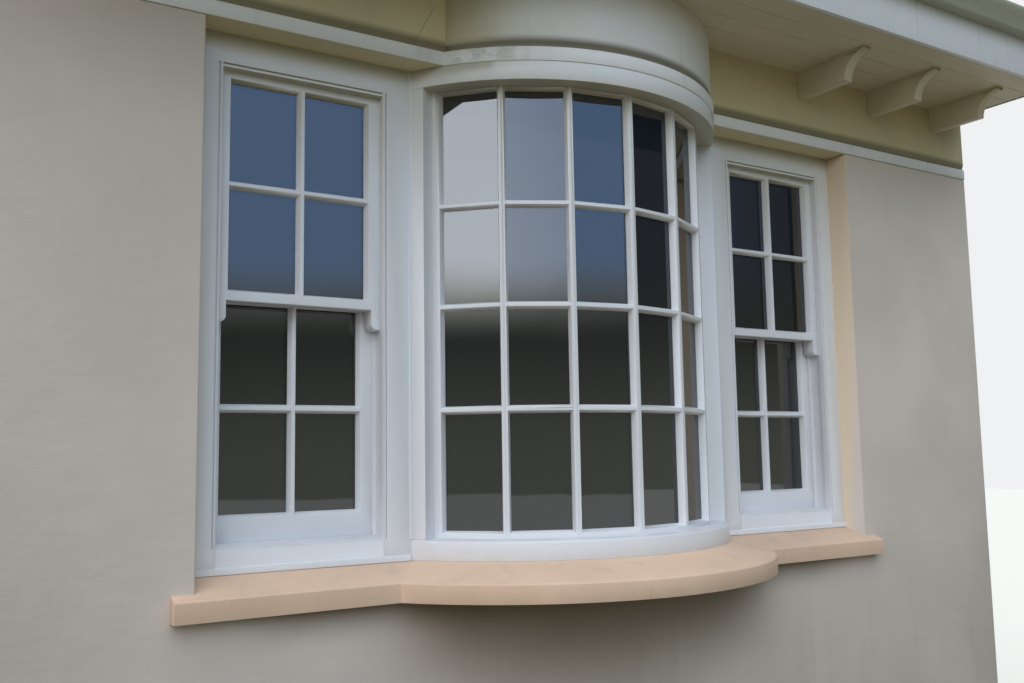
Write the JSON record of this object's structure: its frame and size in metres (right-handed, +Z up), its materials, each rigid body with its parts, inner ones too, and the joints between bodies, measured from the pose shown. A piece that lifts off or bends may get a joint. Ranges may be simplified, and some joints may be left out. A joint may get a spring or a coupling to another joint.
{
  "type": "bow window bay with facade and eaves",
  "caption": "Curved bow window between two sash windows in a rendered wall, from the ground to the boarded eaves and gutter.",
  "frame": {"origin": "ground level under the middle of the bow, halfway through the wall's thickness", "axes": "+X right as seen from outside, -Y out to the street, +Z up"},
  "size_m": [4.55, 0.933, 3.29],
  "materials": {
    "render": "matt painted render",
    "sill_paint": "satin masonry paint",
    "joinery_paint": "gloss white paint",
    "trim_paint": "satin cream paint",
    "glass": "clear drawn sheet",
    "gutter_paint": "gloss white paint",
    "deck_board": "plain weathered board"
  },
  "bodies": {
    "root": {"bow_band": "trim_paint", "bow_ceiling": "joinery_paint", "bow_drum": "trim_paint", "bow_glass": "glass", "bow_head": "trim_paint", "bow_kerb": "joinery_paint", "bow_light_1": "joinery_paint", "bow_light_2": "joinery_paint", "bow_light_3": "joinery_paint", "bow_light_4": "joinery_paint", "bow_light_5": "joinery_paint", "bow_light_6": "joinery_paint", "bow_post_left": "joinery_paint", "bow_post_right": "joinery_paint", "eaves_deck": "deck_board", "eaves_soffit": "trim_paint", "fascia": "joinery_paint", "flank_glass_left": "glass", "flank_glass_right": "glass", "frame_head_left": "joinery_paint", "frame_head_right": "joinery_paint", "gutter": "gutter_paint", "inner_board": "joinery_paint", "jamb_inner_left": "joinery_paint", "jamb_inner_right": "joinery_paint", "jamb_outer_left": "joinery_paint", "jamb_outer_right": "joinery_paint", "lower_sash_left": "joinery_paint", "lower_sash_right": "joinery_paint", "rafter_end_1_left": "trim_paint", "rafter_end_1_right": "trim_paint", "rafter_end_2_left": "trim_paint", "rafter_end_2_right": "trim_paint", "rafter_end_3_left": "trim_paint", "rafter_end_3_right": "trim_paint", "timber_sill_left": "joinery_paint", "timber_sill_right": "joinery_paint", "upper_sash_left": "joinery_paint", "upper_sash_right": "joinery_paint", "wall_above": "render", "wall_band_left": "trim_paint", "wall_band_right": "trim_paint", "wall_below": "render", "wall_pier_left": "render", "wall_pier_right": "render", "window_sill": "sill_paint"}
  },
  "joints": []
}
